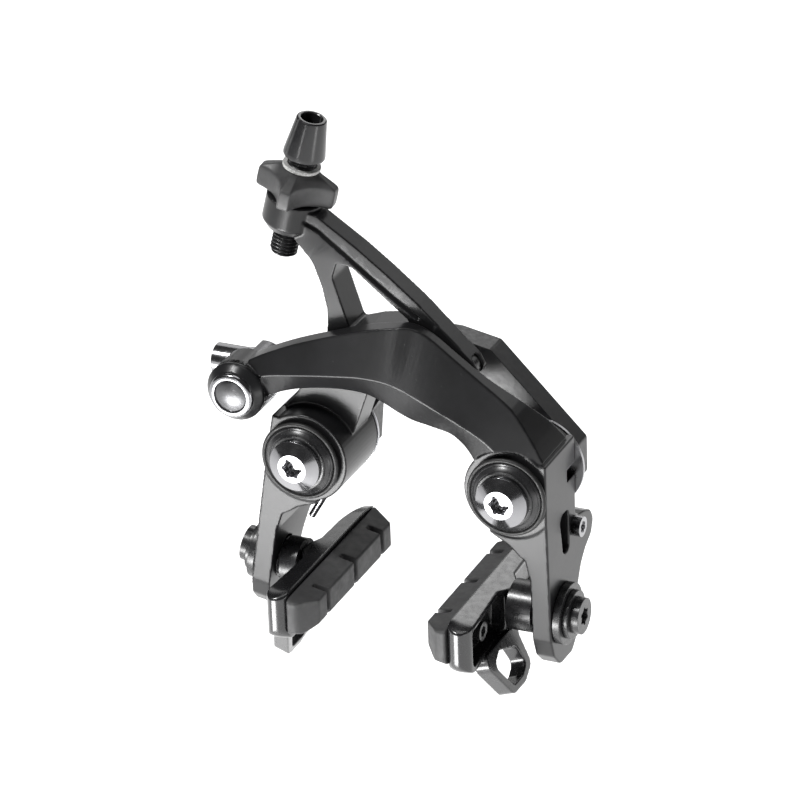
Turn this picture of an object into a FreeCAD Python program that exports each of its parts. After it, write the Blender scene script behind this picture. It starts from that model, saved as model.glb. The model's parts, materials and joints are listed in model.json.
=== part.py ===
import FreeCAD, Part
import math
import os
import re
import Sketcher
from FreeCAD import Placement, Rotation, Vector

# Direct-mount dual-pivot rim brake caliper, in millimetres.
# +X is to the right seen from the front, +Y points back to the frame, +Z is up.
# The origin lies midway between the two mounting bolts, on the rear mounting face.

doc = FreeCAD.newDocument("rim_brake_caliper")

# ---------------------------------------------------------------- driving dimensions
SIZES = {
    # pivots and mounting
    "pivot_spacing": 56.0,
    "shank_radius": 3.3,
    "stud_radius": 3.0,
    "stud_reach": 12.0,
    "bush_radius": 6.0,
    "bush_bore": 3.4,
    "run_gap": 0.03,
    "head_radius": 6.8,
    "head_tip_radius": 3.8,
    "head_front": -33.6,
    "head_rim": -32.0,
    "head_back": -30.6,
    "socket_radius": 2.75,
    "socket_depth": 2.4,
    "collar_nose_radius": 7.4,
    "collar_shoulder_radius": 9.3,
    "collar_radius": 9.9,
    "collar_front": -30.55,
    "collar_shoulder": -29.3,
    "collar_back": -27.1,
    "seal_wire": 0.6,
    "bridge_front": -7.0,
    # arms
    "hub_radius": 12.0,
    "hub_front": -27.0,
    "hub_back": -8.0,
    "spring_seat_radius": 9.8,
    "spring_seat_front": -13.2,
    "washer_front": -7.9,
    "washer_back": -7.05,
    "washer_radius": 12.2,
    "leg_outer": 9.9,
    "leg_bottom": -50.5,
    "left_lean": 10.4,
    "plate_back": -22.0,
    "left_front": -20.4,
    "left_back": -11.0,
    "beam_back": -14.4,
    # return springs
    "spring_wire": 0.9,
    "spring_coil_radius": 7.7,
    "spring_pitch": 2.0,
    "tension_head_radius": 2.6,
    "tension_shaft_radius": 1.5,
    # cam and roller
    "roller_radius": 3.4,
    "roller_front": -19.0,
    "roller_back": -16.0,
    "roller_pin_radius": 1.25,
    "cam_gap": 0.15,
    "cam_thickness": 1.5,
    # cable anchor in the eye of the right arm
    "eye_radius": 7.8,
    "eye_front": -32.0,
    "eye_back": -20.5,
    "eye_bore": 5.0,
    "cap_radius": 6.0,
    "cap_front": -33.2,
    "anchor_pin_radius": 4.4,
    "anchor_block_radius": 6.0,
    "anchor_back": -11.6,
    "clamp_screw_radius": 4.1,
    "clamp_depth": -15.6,
    # cable adjuster
    "adjuster_depth": -16.0,
    "adjuster_lean": 14.5,
    "boss_radius": 7.1,
    "barrel_radius": 3.5,
    "housing_radius": 2.6,
    "cable_radius": 1.1,
    "knob_reach": 10.3,
    "knob_height": 8.0,
    # pads
    "pad_centre": -17.2,
    "pad_length": 54.0,
    "pad_axis": -36.3,
    "rubber_depth": 7.0,
    "holder_depth": 7.2,
    "leg_thickness": 5.0,
    "groove_spacing": 16.5,
    "groove_depth": 4.2,
    "recess_floor": 9.2,
    "pad_bolt_radius": 2.5,
    "slot_half_width": 2.75,
    "slot_travel": 3.5,
    "ball_radius": 7.0,
}

sheet = doc.addObject("Spreadsheet::Sheet", "Sizes")
for row, (alias, value) in enumerate(SIZES.items(), start=1):
    sheet.set("A%d" % row, alias)
    sheet.set("B%d" % row, str(value))
    sheet.setAlias("B%d" % row, alias)
doc.recompute()


def size(text):
    """The number that an expression of sheet names stands for."""
    names = {alias: sheet.get(alias) for alias in SIZES}
    total = 0.0
    for sign, term in re.findall(r"([+-]?)\s*([\w.]+)", text):
        value = names[term] if term in names else float(term)
        total += -value if sign == "-" else value
    return total


def bind(obj, **sizes):
    """Tie each property to an expression of sheet names, such as 'hub_back - hub_front'."""
    for prop, text in sizes.items():
        linked = re.sub(r"[a-z][a-z_]+", lambda word: "Sizes." + word.group(0), text)
        obj.setExpression(prop.replace("__", "."), linked)


# ---------------------------------------------------------------- building helpers
ALONG_X = Rotation(Vector(0, 1, 0), 90)
ALONG_Y = Rotation(Vector(1, 0, 0), -90)


def place(obj, origin, turn):
    obj.Placement = Placement(Vector(*origin), turn)
    return obj


def round_bar(name, radius, length, origin, turn=ALONG_Y, tip=None):
    """A cylinder, or a cone when tip is given, from origin along the turned Z axis."""
    kind = "Part::Cylinder" if tip is None else "Part::Cone"
    obj = place(doc.addObject(kind, name), origin, turn)
    if tip is None:
        bind(obj, Radius=radius, Height=length)
    else:
        bind(obj, Radius1=radius, Radius2=tip, Height=length)
    return obj


def block(name, corner, sides, turn=None):
    obj = place(doc.addObject("Part::Box", name), corner, turn or Rotation())
    obj.Length, obj.Width, obj.Height = sides
    return obj


def fuse(name, parts):
    obj = doc.addObject("Part::MultiFuse", name)
    obj.Shapes = parts
    obj.Refine = True
    return obj


def cut(name, base, tools):
    obj = doc.addObject("Part::Cut", name)
    obj.Base = base
    obj.Tool = tools[0] if len(tools) == 1 else fuse(name + "_tools", tools)
    return obj


def common(name, first, second):
    obj = doc.addObject("Part::MultiCommon", name)
    obj.Shapes = [first, second]
    return obj


def new_body(name, origin=(0, 0, 0), turn=None):
    return place(doc.addObject("PartDesign::Body", name), origin, turn or Rotation())


def sketch_on(body, name, role, offset):
    """A sketch on an origin plane of its own body, moved along the plane's normal."""
    sketch = body.newObject("Sketcher::SketchObject", name)
    plane = [item for item in body.Origin.OriginFeatures if item.Role == role][0]
    sketch.AttachmentSupport = (plane, [""])
    sketch.MapMode = "FlatFace"
    bind(sketch, AttachmentOffset__Base__z=offset)
    return sketch


def outline(sketch, points, radius=0.0):
    """A closed outline of straight runs; a corner (u, v, r) is rounded by r, or else by radius."""
    count = len(points)
    corners = []
    for index, point in enumerate(points):
        here = Vector(point[0], point[1], 0)
        before = Vector(*points[index - 1][:2], 0) - here
        after = Vector(*points[(index + 1) % count][:2], 0) - here
        bend = point[2] if len(point) > 2 else radius
        half = before.getAngle(after) / 2
        if bend < 1e-6 or half > math.radians(89):
            corners.append((here, None, here))
            continue
        reach = min(bend / math.tan(half), 0.48 * before.Length, 0.48 * after.Length)
        bend = reach * math.tan(half)
        start = here + before.normalize() * reach
        end = here + after.normalize() * reach
        inward = (before + after).normalize()
        middle = here + inward * (bend / math.sin(half) - bend)
        corners.append((start, middle, end))
    for index, (start, middle, end) in enumerate(corners):
        if middle is not None:
            sketch.addGeometry(Part.Arc(start, middle, end), False)
        following = corners[(index + 1) % count][0]
        if end.distanceToPoint(following) > 1e-6:
            sketch.addGeometry(Part.LineSegment(end, following), False)


def prism(name, role, points, near, far, radius=0.0, origin=(0, 0, 0), turn=None):
    """A body padded from an outline; near and far are the two depths along the plane's axis."""
    body = new_body(name, origin, turn)
    backwards = role == "XZ_Plane"
    profile = sketch_on(body, name + "_profile", role, "-(%s)" % far if backwards else near)
    outline(profile, points, radius)
    pad = body.newObject("PartDesign::Pad", name + "_pad")
    pad.Profile = profile
    bind(pad, Length="(%s) - (%s)" % (far, near))
    return body


def pocket_outline(body, name, role, points, radius=0.0):
    """Cut an outline right through a body, both ways from its origin plane."""
    profile = sketch_on(body, name + "_profile", role, "0")
    outline(profile, points, radius)
    return through_pocket(body, name, profile)


def through_pocket(body, name, profile):
    pocket = body.newObject("PartDesign::Pocket", name)
    pocket.Profile = profile
    pocket.Type = "ThroughAll"
    pocket.SideType = "Symmetric"
    return pocket


def shaped(name, shape):
    obj = doc.addObject("Part::Feature", name)
    obj.Shape = shape
    obj.Placement = Placement()
    return obj


def torx_cutter(name, radius, depth, origin, turn):
    """A six-lobed driver recess: a round core with six small round lobes."""
    core = round_bar(name + "_core", "%s - 0.5" % radius, depth, origin, turn)
    lobes = [core]
    for index in range(6):
        angle = math.radians(60 * index)
        reach = size(radius) - 0.55
        shift = turn.multVec(Vector(reach * math.cos(angle), reach * math.sin(angle), 0))
        spot = Vector(*origin) + shift
        lobes.append(round_bar("%s_lobe_%d" % (name, index), "0.55", depth, tuple(spot), turn))
    return fuse(name, lobes)


NODES = []


def publish(label, obj):
    obj.Label = label
    NODES.append(obj)
    return obj


PIVOT = size("pivot_spacing") / 2
SIDES = (("left", -1), ("right", 1))
ABOUT_Y = Vector(0, 1, 0)


def lean(side):
    """The left leg leans outwards; the right leg stands straight."""
    return size("left_lean") if side == "left" else 0.0


# ---------------------------------------------------------------- rear bridge
HALF_ARCH = [(38.0, -4.5), (38.0, 5.2), (15.4, 28.3), (5.0, 30.3)]
HALF_ARCH_LOWER = [(9.0, 19.5), (17.5, 6.0), (18.5, -5.0), (26.5, -12.5), (34.0, -8.6)]
arch = HALF_ARCH + [(-x, z) for x, z in reversed(HALF_ARCH)]
arch += [(-x, z) for x, z in reversed(HALF_ARCH_LOWER)] + HALF_ARCH_LOWER
bridge = prism("bridge_body", "XZ_Plane", arch, "bridge_front", "0", radius=1.5)
bolt_holes = sketch_on(bridge, "bolt_holes", "XZ_Plane", "0")
for index, (side, sign) in enumerate(SIDES):
    centre = Vector(sign * PIVOT, 0, 0)
    bolt_holes.addGeometry(Part.Circle(centre, Vector(0, 0, 1), size("bush_bore")), False)
    radius_rule = bolt_holes.addConstraint(Sketcher.Constraint("Radius", index, size("bush_bore")))
    bolt_holes.setExpression("Constraints[%d]" % radius_rule, "Sizes.bush_bore")
through_pocket(bridge, "bolt_hole_pocket", bolt_holes)
hook_holes = sketch_on(bridge, "spring_hook_holes", "XZ_Plane", "-bridge_front")
for side, sign in SIDES:
    hook = Vector(sign * PIVOT, size("spring_coil_radius"), 0)
    hook_holes.addGeometry(Part.Circle(hook, Vector(0, 0, 1), 1.2), False)
hook_pocket = bridge.newObject("PartDesign::Pocket", "spring_hook_pocket")
hook_pocket.Profile = hook_holes
hook_pocket.Length = 4.0
publish("rear_bridge", bridge)


# ---------------------------------------------------------------- pivots
def mounting_bolt(side, x):
    shank = round_bar(side + "_shank", "shank_radius", "0 - head_back", (x, size("head_back"), 0))
    stud = round_bar(side + "_stud", "stud_radius", "stud_reach - 0.6", (x, 0, 0))
    point = round_bar(side + "_stud_point", "stud_radius", "0.6",
                      (x, size("stud_reach") - 0.6, 0), tip="stud_radius - 0.6")
    skirt = round_bar(side + "_skirt", "head_radius", "head_back - head_rim", (x, size("head_rim"), 0))
    cone = round_bar(side + "_head_cone", "head_tip_radius", "head_rim - head_front",
                     (x, size("head_front"), 0), tip="head_radius")
    socket = torx_cutter(side + "_socket", "socket_radius", "socket_depth",
                         (x, size("head_front"), 0), ALONG_Y)
    bolt = fuse(side + "_bolt_blank", [shank, stud, point, skirt, cone])
    publish(side + "_mounting_bolt", cut(side + "_bolt", bolt, [socket]))


def collar(side, x):
    nose = round_bar(side + "_collar_nose", "collar_nose_radius", "collar_shoulder - collar_front",
                     (x, size("collar_front"), 0), tip="collar_shoulder_radius")
    rim = round_bar(side + "_collar_rim", "collar_shoulder_radius", "collar_back - collar_shoulder",
                    (x, size("collar_shoulder"), 0))
    flange = round_bar(side + "_collar_flange", "collar_radius", "0.7", (x, size("collar_back") - 0.7, 0))
    bore = round_bar(side + "_collar_bore", "bush_bore", "collar_back - collar_front",
                     (x, size("collar_front"), 0))
    blank = fuse(side + "_collar_blank", [nose, rim, flange])
    publish(side + "_collar", cut(side + "_collar_cut", blank, [bore]))
    ring = place(doc.addObject("Part::Torus", side + "_seal_ring"),
                 (x, size("collar_back") - 1.4, 0), ALONG_Y)
    bind(ring, Radius1="collar_shoulder_radius + seal_wire + 0.02", Radius2="seal_wire")
    publish(side + "_collar_seal", ring)


def tube(name, outer, inner, length, origin, turn=ALONG_Y):
    wall = round_bar(name + "_wall", outer, length, origin, turn)
    hole = round_bar(name + "_hole", inner, length, origin, turn)
    return cut(name, wall, [hole])


def bushing(side, x):
    sleeve = tube(side + "_sleeve", "bush_radius", "bush_bore", "bridge_front - collar_back",
                  (x, size("collar_back"), 0))
    publish(side + "_bushing", sleeve)
    washer = tube(side + "_washer_ring", "washer_radius", "bush_radius + 0.05",
                  "washer_back - washer_front", (x, size("washer_front"), 0))
    hook = round_bar(side + "_washer_hook", "1.2", "washer_back - washer_front",
                     (x, size("washer_front"), size("spring_coil_radius")))
    publish(side + "_thrust_washer", cut(side + "_washer", washer, [hook]))


for side, sign in SIDES:
    mounting_bolt(side, sign * PIVOT)
    collar(side, sign * PIVOT)
    bushing(side, sign * PIVOT)


# ---------------------------------------------------------------- legs, the same on both arms
SCREW_SPOT = (-9.4, -15.5)   # depth and height of the spring tension screw


def leg_points(sign):
    """Front outline from the hub down, measured from the pivot; sign +1 puts its outside at +X."""
    outer = size("leg_outer")
    bottom = size("leg_bottom")
    inner = outer - size("leg_thickness")
    half = [(outer, 9.0), (outer, bottom), (inner, bottom), (inner - 0.2, -24.0), (3.6, -18.6),
            (-0.4, -14.8), (-5.5, -11.6), (-6.0, 0.0), (0.0, 9.0)]
    return [(sign * u, z) for u, z in half]


LEG_SIDE = [(-27.0, 14.0, 0), (-27.0, -6.0, 0), (-25.2, -41.0, 4), (-23.4, -46.0, 3), (-19.4, -50.2, 4),
            (-11.5, -50.5, 2), (-8.6, -48.0, 2), (-7.8, -38.0, 3), (-6.8, -33.0, 3), (-4.6, -28.6, 3),
            (-1.6, -25.6, 3), (2.4, -23.4, 2.5), (3.9, -19.6, 2.5), (2.0, -16.6, 2.5), (-2.0, -15.0, 3),
            (-6.0, -14.0, 3), (-8.0, -12.8, 2), (-8.0, 14.0, 0)]
POCKET = [(-18.2, -9.2), (-12.6, -9.2), (-12.6, -20.6), (-16.4, -20.6)]


def leg(side, sign):
    """The brake leg with its pad slot, side pocket and screw hole, hub bore left to the arm."""
    turn = Rotation(ABOUT_Y, lean(side))
    origin = (sign * PIVOT, 0, 0)
    body = prism(side + "_leg", "XZ_Plane", leg_points(sign), "hub_front", "4", 0.0, origin, turn)
    frame = [(-60, 40), (40, 40), (40, -90), (-60, -90)]
    trim = sketch_on(body, side + "_leg_trim", "YZ_Plane", "0")
    outline(trim, frame)
    outline(trim, LEG_SIDE, 1.0)
    through_pocket(body, side + "_leg_trim_pocket", trim)
    middle = size("pad_centre")
    half_width = size("slot_half_width")
    top = size("pad_axis") + size("slot_travel") + half_width
    low = size("pad_axis") - size("slot_travel") - half_width
    slot = [(middle - half_width, top), (middle + half_width, top),
            (middle + half_width, low), (middle - half_width, low)]
    pocket_outline(body, side + "_pad_slot", "YZ_Plane", slot, half_width - 0.02)
    window = sketch_on(body, side + "_side_pocket_profile", "YZ_Plane", "%d * (leg_outer - 5.5)" % sign)
    outline(window, POCKET, 2.0)
    pocket = body.newObject("PartDesign::Pocket", side + "_side_pocket")
    pocket.Profile = window
    pocket.Length = 12.0
    pocket.Reversed = sign > 0
    hole = sketch_on(body, side + "_screw_hole_profile", "YZ_Plane", "0")
    hole.addGeometry(Part.Circle(Vector(*SCREW_SPOT, 0), Vector(0, 0, 1),
                                 size("tension_shaft_radius") + 0.03), False)
    through_pocket(body, side + "_screw_hole", hole)
    return body


def in_leg(side, sign, outward, depth, height):
    """A place given from the pivot, outwards, in depth and in height, turned with the leg."""
    spot = Rotation(ABOUT_Y, lean(side)).multVec(Vector(sign * outward, 0, height))
    return (sign * PIVOT + spot.x, depth, spot.z)


def outward_turn(side, sign):
    """Turns the Z axis to point out of the leg."""
    return Rotation(ABOUT_Y, lean(side) + sign * 90)


def hub(side, x):
    return round_bar(side + "_hub_drum", "hub_radius", "hub_back - hub_front", (x, size("hub_front"), 0))


def hub_cutters(side, sign):
    """The pivot bore, the spring seat behind it, its slot, and the flat that squares the outside."""
    x = sign * PIVOT
    bore = round_bar(side + "_pivot_bore", "bush_radius + run_gap", "hub_back - hub_front",
                     (x, size("hub_front"), 0))
    seat = round_bar(side + "_spring_seat", "spring_seat_radius", "hub_back - spring_seat_front",
                     (x, size("spring_seat_front"), 0))
    collar_room = round_bar(side + "_collar_room", "hub_radius", "hub_front - collar_front + 4",
                            (x, size("collar_front") - 4, 0))
    turn = Rotation(ABOUT_Y, lean(side))
    flat = block(side + "_hub_flat", in_leg(side, sign, size("leg_outer") + (10 if sign < 0 else 0), -40, -20),
                 (10, 60, 45), turn)
    return [bore, seat, spring_slot(side, sign), collar_room, flat]


# ---------------------------------------------------------------- return springs
LEG_ANGLE = 200.0      # where the spring's free leg leaves its coil, seen from the front
FREE_LEG = 24.0
SLOT_LENGTH = 13.0
HOOK_LENGTH = 5.8


def on_pivot(obj, side, sign):
    """Carry a piece made about the origin to its own pivot, leaning with its leg."""
    return place(obj, (sign * PIVOT, 0, 0), Rotation(ABOUT_Y, lean(side)))


def leg_start():
    """Start and direction of the free leg, about the right pivot."""
    angle = math.radians(LEG_ANGLE)
    coil = size("spring_coil_radius")
    start = Vector(coil * math.cos(angle), 0, coil * math.sin(angle))
    return start, Vector(-math.sin(angle), 0, math.cos(angle))


def spring_slot(side, sign):
    """The way out of the hub for the spring's free leg."""
    start, along = leg_start()
    across = Vector(along.z, 0, -along.x) * (size("spring_wire") + 0.5)
    end = start + along * SLOT_LENGTH
    corners = [start - across, start + across, end + across, end - across]
    slot = prism(side + "_spring_slot", "XZ_Plane", [(sign * spot.x, spot.z) for spot in corners],
                 "spring_seat_front", "hub_back + 1")
    return on_pivot(slot, side, sign)


def return_spring(side, sign):
    """A torsion spring: coil in the arm's seat, one leg down the arm, one hook in the bridge."""
    wire = size("spring_wire")
    coil = size("spring_coil_radius")
    pitch = size("spring_pitch")
    front = size("spring_seat_front") + wire + 0.3
    turns = (LEG_ANGLE + 270 + lean(side)) / 360
    helix = Part.makeHelix(pitch, pitch * turns, coil)
    section = Part.Wire(Part.makeCircle(wire, Vector(coil, 0, 0), Vector(0, 1, 0)))
    winding = Part.Wire(helix).makePipeShell([section], True, True)
    winding.rotate(Vector(), Vector(1, 0, 0), -90)
    winding.rotate(Vector(), ABOUT_Y, -LEG_ANGLE)
    winding.translate(Vector(0, front, 0))
    start, along = leg_start()
    start.y = front
    free_leg = Part.makeCylinder(wire, FREE_LEG, start, along)
    end_angle = math.radians(90 - lean(side))
    end = Vector(coil * math.cos(end_angle), front + pitch * turns, coil * math.sin(end_angle))
    hook = Part.makeCylinder(wire, HOOK_LENGTH, end, ABOUT_Y)
    spring = winding.multiFuse([free_leg, hook, Part.makeSphere(wire, start), Part.makeSphere(wire, end)])
    if sign < 0:
        spring = spring.mirror(Vector(), Vector(1, 0, 0))
    publish(side + "_return_spring", on_pivot(shaped(side + "_spring", spring), side, sign))


def tension_screw(side, sign):
    outer = size("leg_outer")
    turn = outward_turn(side, sign)
    depth, height = SCREW_SPOT
    inner_end = -0.4
    shaft = round_bar(side + "_tension_shaft", "tension_shaft_radius", "leg_outer + 0.5",
                      in_leg(side, sign, inner_end, depth, height), turn)
    head = round_bar(side + "_tension_head", "tension_head_radius", "2.4",
                     in_leg(side, sign, outer + 0.1, depth, height), turn)
    socket = torx_cutter(side + "_tension_socket", "1.6", "1.4",
                         in_leg(side, sign, outer + 1.1, depth, height), turn)
    screw = fuse(side + "_tension_blank", [shaft, head])
    publish(side + "_tension_screw", cut(side + "_tension", screw, [socket]))


# ---------------------------------------------------------------- right arm
EYE = (-44.4, 17.2)
# Stations along the front of the arm: top edge, bottom edge, how far down the crease lies, the
# depths of the top edge, the crease and the bottom edge of its front, and the depth of its back.
RIGHT_STATIONS = [
    (-41.5, 25.4, -41.0, 13.5, 0.45, -28.0, -29.4, -28.0, -22.0),
    (-37.0, 27.8, -36.5, 16.3, 0.46, -27.6, -29.6, -27.2, -22.0),
    (-29.0, 31.4, -28.5, 19.0, 0.60, -27.0, -29.6, -26.4, -22.0),
    (-18.7, 35.2, -18.7, 20.6, 0.67, -26.8, -29.6, -26.2, -22.0),
    (-10.0, 38.1, -10.6, 20.6, 0.67, -26.8, -29.6, -26.2, -22.0),
    (-2.0, 39.9, -5.5, 18.9, 0.65, -26.4, -29.6, -26.2, -22.0),
    (2.6, 40.0, -1.4, 16.9, 0.64, -25.4, -29.5, -26.2, -22.0),
    (7.0, 38.2, 2.6, 15.4, 0.64, -25.2, -29.6, -26.2, -22.0),
    (13.5, 33.5, 7.8, 14.6, 0.66, -25.2, -29.6, -26.4, -22.0),
    (21.0, 28.1, 13.6, 13.2, 0.68, -25.3, -29.4, -26.6, -21.6),
    (28.4, 22.7, 18.2, 8.8, 0.60, -25.6, -29.0, -26.9, -19.6),
    (33.6, 15.6, 21.0, 2.6, 0.46, -26.0, -28.6, -27.0, -14.2),
    (37.0, 9.8, 25.0, -2.0, 0.34, -26.4, -27.6, -27.0, -11.0),
]
STEPS_BETWEEN = 4


def smooth_stations(stations):
    """The stations with steps between them that follow a smooth curve through every column."""
    ends = [stations[0]] + stations + [stations[-1]]
    result = []
    for index in range(len(stations) - 1):
        before, here, ahead, after = ends[index:index + 4]
        for step in range(STEPS_BETWEEN):
            share = step / STEPS_BETWEEN
            result.append([between(*column, share) for column in zip(before, here, ahead, after)])
    return result + [list(stations[-1])]


def between(before, here, ahead, after, share):
    """The Catmull-Rom curve from here to ahead."""
    first = ahead - before
    second = 2 * before - 5 * here + 4 * ahead - after
    third = 3 * here - before - 3 * ahead + after
    return here + 0.5 * share * (first + share * (second + share * third))


def beam_section(station):
    top_x, top_z, low_x, low_z, share, top_depth, crease_depth, low_depth, back = station
    crease_x = top_x + share * (low_x - top_x)
    crease_z = top_z + share * (low_z - top_z)
    loop = [Vector(top_x, back, top_z), Vector(top_x, top_depth, top_z),
            Vector(crease_x, crease_depth, crease_z), Vector(low_x, low_depth, low_z),
            Vector(low_x, back, low_z)]
    return Part.makePolygon(loop + [loop[0]])


def right_arm():
    x = PIVOT
    sections = [beam_section(station) for station in smooth_stations(RIGHT_STATIONS)]
    beam = shaped("right_beam", Part.makeLoft(sections, True, True))
    root = prism("right_root", "XZ_Plane",
                 [(33.4, 13.0), (36.6, 9.6), (37.9, 6.0), (37.9, -2.0), (24.0, 4.0)],
                 "plate_back - 4", "beam_back + 3.4", 0.3)
    ledge = prism("right_ledge", "XZ_Plane", ledge_points(), "plate_back - 1", "beam_back - 0.1")
    eye_x, eye_z = EYE
    eye = round_bar("right_eye", "eye_radius", "eye_back - eye_front", (eye_x, size("eye_front"), eye_z))
    eye_bore = round_bar("right_eye_bore", "eye_bore", "eye_back - eye_front",
                         (eye_x, size("eye_front"), eye_z))
    blank = fuse("right_arm_blank", [beam, root, ledge, eye, hub("right", x), leg("right", 1)])
    publish("right_arm", cut("right_arm_cut", blank, hub_cutters("right", 1) + [eye_bore]))


# ---------------------------------------------------------------- cam and roller
# The roller at the end of the left arm rests on the cam of the right arm. The cam's top is the
# path that the roller takes, seen from the right arm, while both arms turn by the same angle.
ROLLER = (13.3, 28.2)
CAM_TURNS = (-4.4, -3.0, -1.5, 0.0, 1.5, 3.0, 4.5, 6.0, 7.5, 9.2)    # degrees of the right arm


def turned(spot, centre, degrees):
    """A point of the front view after a turn about the Y axis through centre."""
    angle = math.radians(degrees)
    x, z = spot[0] - centre[0], spot[1] - centre[1]
    return (centre[0] + x * math.cos(angle) + z * math.sin(angle),
            centre[1] - x * math.sin(angle) + z * math.cos(angle))


def roller_path(degrees):
    """The roller's middle in the right arm's own frame, with the right arm turned by degrees."""
    moved = turned(ROLLER, (-PIVOT, 0), -degrees)
    return turned(moved, (PIVOT, 0), -degrees)


def below_path(depth):
    """Points a given depth below the roller's path, from the low end of the cam to the high end."""
    points = []
    for degrees in CAM_TURNS:
        here = Vector(*roller_path(degrees), 0)
        ahead = Vector(*roller_path(degrees + 0.01), 0) - here
        down = Vector(ahead.y, -ahead.x, 0).normalize()
        if down.y > 0:
            down = down.negative()
        spot = here + down * depth
        points.append((spot.x, spot.y))
    return points


def cam_plate():
    top = size("roller_radius") + size("cam_gap")
    outline_points = below_path(top) + below_path(top + size("cam_thickness"))[::-1]
    front = "roller_front - 1.2"
    publish("cam_plate", prism("cam_plate_body", "XZ_Plane", outline_points, front, "roller_back + 1.2"))


def ledge_points():
    """The arm's ledge: it carries the cam's underside and runs down into the beam."""
    under = below_path(size("roller_radius") + size("cam_gap") + size("cam_thickness"))
    low, high = under[0], under[-1]
    return under + [(high[0] + 1.0, high[1] - 8.0), (low[0] - 1.5, low[1] - 4.5)]


def cam_roller():
    x, z = ROLLER
    roller = tube("roller_tube", "roller_radius", "roller_pin_radius + run_gap",
                  "roller_back - roller_front - 0.2", (x, size("roller_front") + 0.1, z))
    publish("cam_roller", roller)
    pin = round_bar("roller_axle", "roller_pin_radius", "beam_back - left_front",
                    (x, size("left_front"), z))
    publish("roller_pin", pin)


# ---------------------------------------------------------------- left arm
KNOB_SEAT = (-30.0, 74.8)       # on the adjuster's axis, at the top of the star knob


def on_adjuster(along):
    """A point on the adjuster's axis, measured from the top of the knob."""
    angle = math.radians(size("adjuster_lean"))
    x = KNOB_SEAT[0] + along * math.sin(angle)
    z = KNOB_SEAT[1] + along * math.cos(angle)
    return (x, size("adjuster_depth"), z)


ADJUSTER_TURN = Rotation(ABOUT_Y, size("adjuster_lean"))
# The strut and the neck are full depth; the beam that runs from the boss to the roller is thinner.
# Together they leave the arm's triangular window open.
STRUT = [(-36.5, 10.0, 3), (-31.8, 15.0, 4), (-25.4, 26.0, 6), (-22.9, 33.0, 6), (-22.5, 38.5, 8),
         (-23.8, 45.0, 8), (-26.2, 51.6, 8), (-31.0, 57.0, 2), (-29.5, 62.5, 1), (-21.5, 58.0, 1),
         (-19.4, 52.5, 1), (-20.9, 48.0, 2), (-16.6, 34.6, 1), (-11.0, 36.5, 2), (-3.6, 37.9, 1.5),
         (0.6, 39.2, 0.5), (3.4, 35.6, 1.5), (2.0, 32.4, 2), (-4.0, 32.2, 3), (-8.6, 28.5, 4),
         (-12.0, 19.0, 4), (-16.6, 6.0, 2), (-28.0, -4.0, 1)]
BEAM = [(-31.0, 57.0, 1), (-29.8, 64.6, 1), (-24.6, 64.0, 2), (-20.5, 61.3, 2), (-14.0, 57.0, 4),
        (-6.0, 51.0, 6), (2.0, 44.5, 6), (11.1, 35.9, 6), (16.1, 31.0, 3), (17.6, 28.2, 1.2),
        (16.4, 26.4, 1), (11.4, 26.3, 1.5), (9.4, 28.8, 2), (5.0, 30.6, 3), (0.5, 32.4, 1),
        (-1.4, 36.0, 1), (-0.6, 39.6, 0.8), (-15.4, 51.5, 1.2), (-19.3, 51.9, 0.8), (-25.0, 51.0, 1)]


def left_arm():
    strut = prism("left_strut", "XZ_Plane", STRUT, "left_front", "left_back")
    beam = prism("left_beam", "XZ_Plane", BEAM, "left_front", "beam_back")
    boss = round_bar("adjuster_boss", "boss_radius", "6.8", on_adjuster(-15.2), ADJUSTER_TURN)
    boss_end = round_bar("adjuster_boss_end", "boss_radius - 1.6", "2.0", on_adjuster(-17.2), ADJUSTER_TURN,
                         tip="boss_radius")
    boss_hole = round_bar("adjuster_hole", "barrel_radius + run_gap", "20", on_adjuster(-25.0), ADJUSTER_TURN)
    x, z = ROLLER
    slot = round_bar("roller_slot", "roller_radius + 0.6", "roller_back - roller_front",
                     (x, size("roller_front"), z))
    pin_hole = round_bar("roller_pin_hole", "roller_pin_radius", "beam_back - left_front",
                         (x, size("left_front"), z))
    blank = fuse("left_arm_blank", [strut, beam, boss, boss_end, hub("left", -PIVOT), leg("left", -1)])
    cutters = hub_cutters("left", -1) + [boss_hole, slot, pin_hole]
    publish("left_arm", cut("left_arm_cut", blank, cutters))


# ---------------------------------------------------------------- cable adjuster
def adjuster():
    barrel = round_bar("barrel_stem", "barrel_radius", "27.6", on_adjuster(-24.5), ADJUSTER_TURN)
    way = round_bar("barrel_way", "cable_radius", "27.6", on_adjuster(-24.5), ADJUSTER_TURN)
    publish("adjuster_barrel", cut("barrel", barrel, [way]))
    foot = round_bar("cone_foot", "5.3", "1.2", on_adjuster(3.1), ADJUSTER_TURN)
    cone = round_bar("cone_wall", "5.3", "9.5", on_adjuster(4.3), ADJUSTER_TURN, tip="3.8")
    housing = round_bar("cone_seat", "housing_radius", "8.0", on_adjuster(5.8), ADJUSTER_TURN)
    cable = round_bar("cone_way", "cable_radius", "8.0", on_adjuster(3.1), ADJUSTER_TURN)
    publish("adjuster_cone", cut("adjuster_cone_cut", fuse("cone_blank", [foot, cone]), [housing, cable]))
    ring = tube("knob_ring_tube", "4.8", "barrel_radius + 0.1", "0.9", on_adjuster(-0.1), ADJUSTER_TURN)
    publish("knob_ring", ring)


KNOB_TURNED = math.radians(5)
KNOB_TIP = 1.65         # half the width of a lobe's flat tip
KNOB_HOLLOW = 6.2       # from the axis to the deepest point between two lobes


def star_point(distance, across, quarter):
    """A point of the knob's outline, along one lobe and across it."""
    angle = KNOB_TURNED + math.radians(90 * quarter)
    return Vector(distance * math.cos(angle) - across * math.sin(angle),
                  distance * math.sin(angle) + across * math.cos(angle), 0)


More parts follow.
